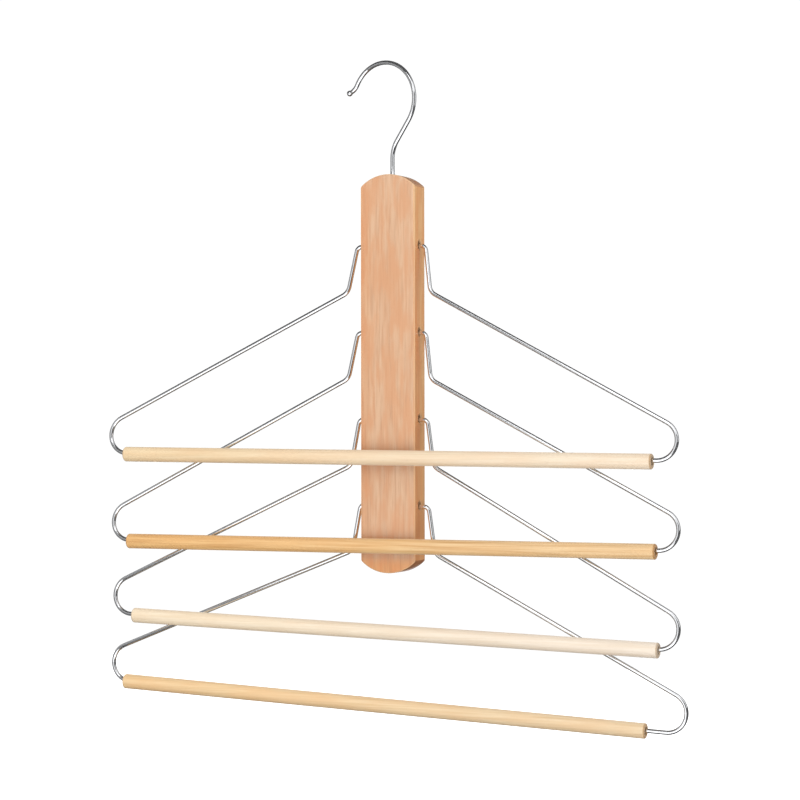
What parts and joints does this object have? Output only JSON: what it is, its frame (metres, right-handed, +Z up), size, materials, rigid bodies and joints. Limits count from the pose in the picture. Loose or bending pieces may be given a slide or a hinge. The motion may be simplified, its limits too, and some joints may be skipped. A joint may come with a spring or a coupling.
{
  "type": "multi tier trouser hanger",
  "caption": "Hanging rack for trousers: wire arms turn in a wooden spine one below another, each holding a loose wooden bar, under a swivelling wire hook.",
  "frame": {"origin": "the inner top of the hook's crook, where it sits on a wardrobe rail", "axes": "+Z up along the hanging spine, -Y to the front that the bars hang on, +X to the right of someone who looks at the front; the hook is turned 13.4 degrees about its shank, as it hangs in the picture"},
  "size_m": [0.4075, 0.0311, 0.4347],
  "materials": {
    "spine_beech": "clear lacquered beech, warm and slightly reddish, satin",
    "bar_beech": "pale unstained beech dowel, fine lengthwise grain, smooth and matt",
    "chrome_wire": "bright chrome-plated steel wire",
    "bush_nylon": "natural nylon"
  },
  "bodies": {
    "hook": {"hook": "chrome_wire"},
    "spine": {"spine": "spine_beech", "hook_bush": "bush_nylon"},
    "arm_1": {"arm_wire_1": "chrome_wire"},
    "bar_1": {"bar_1": "bar_beech"},
    "arm_2": {"arm_wire_2": "chrome_wire"},
    "bar_2": {"bar_2": "bar_beech"},
    "arm_3": {"arm_wire_3": "chrome_wire"},
    "bar_3": {"bar_3": "bar_beech"},
    "arm_4": {"arm_wire_4": "chrome_wire"},
    "bar_4": {"bar_4": "bar_beech"}
  },
  "joints": [
    {"name": "hook_swivel", "type": "hinge", "parent": "hook", "child": "spine", "pos_m": [0.00681, -0.00162, -0.07231], "axis": [0, 0, 1], "continuous": true},
    {"name": "arm_1_swing", "type": "hinge", "parent": "spine", "child": "arm_1", "pos_m": [0.00681, -0.00162, -0.11881], "axis": [-0.9999, 0, 0.0106], "range_deg": [0, 150]},
    {"name": "arm_2_swing", "type": "hinge", "parent": "spine", "child": "arm_2", "pos_m": [0.00681, -0.00162, -0.17512], "axis": [-0.9999, 0, 0.0136], "range_deg": [0, 150]},
    {"name": "arm_3_swing", "type": "hinge", "parent": "spine", "child": "arm_3", "pos_m": [0.00681, -0.00162, -0.23162], "axis": [-1, 0, 0.0065], "range_deg": [0, 150]},
    {"name": "arm_4_swing", "type": "hinge", "parent": "spine", "child": "arm_4", "pos_m": [0.00681, -0.00162, -0.28771], "axis": [-0.9998, 0, 0.0208], "range_deg": [0, 150]},
    {"name": "bar_1_roll", "type": "hinge", "parent": "arm_1", "child": "bar_1", "pos_m": [0.00309, -0.01768, -0.25623], "axis": [1, 0.0004, -0.0074], "continuous": true},
    {"name": "bar_2_roll", "type": "hinge", "parent": "arm_2", "child": "bar_2", "pos_m": [0.00498, -0.0164, -0.31341], "axis": [1, 0.0014, -0.0006], "continuous": true},
    {"name": "bar_3_roll", "type": "hinge", "parent": "arm_3", "child": "bar_3", "pos_m": [0.00449, -0.00886, -0.36961], "axis": [0.9995, -0.0013, -0.0316], "continuous": true},
    {"name": "bar_4_roll", "type": "hinge", "parent": "arm_4", "child": "bar_4", "pos_m": [-0.00612, -0.00162, -0.41808], "axis": [0.9989, 0, -0.0471], "continuous": true}
  ],
  "couplings": [
    {"joint": "arm_1_swing", "follows": "arm_4_swing", "ratio": 1},
    {"joint": "arm_2_swing", "follows": "arm_4_swing", "ratio": 1},
    {"joint": "arm_3_swing", "follows": "arm_4_swing", "ratio": 1}
  ]
}
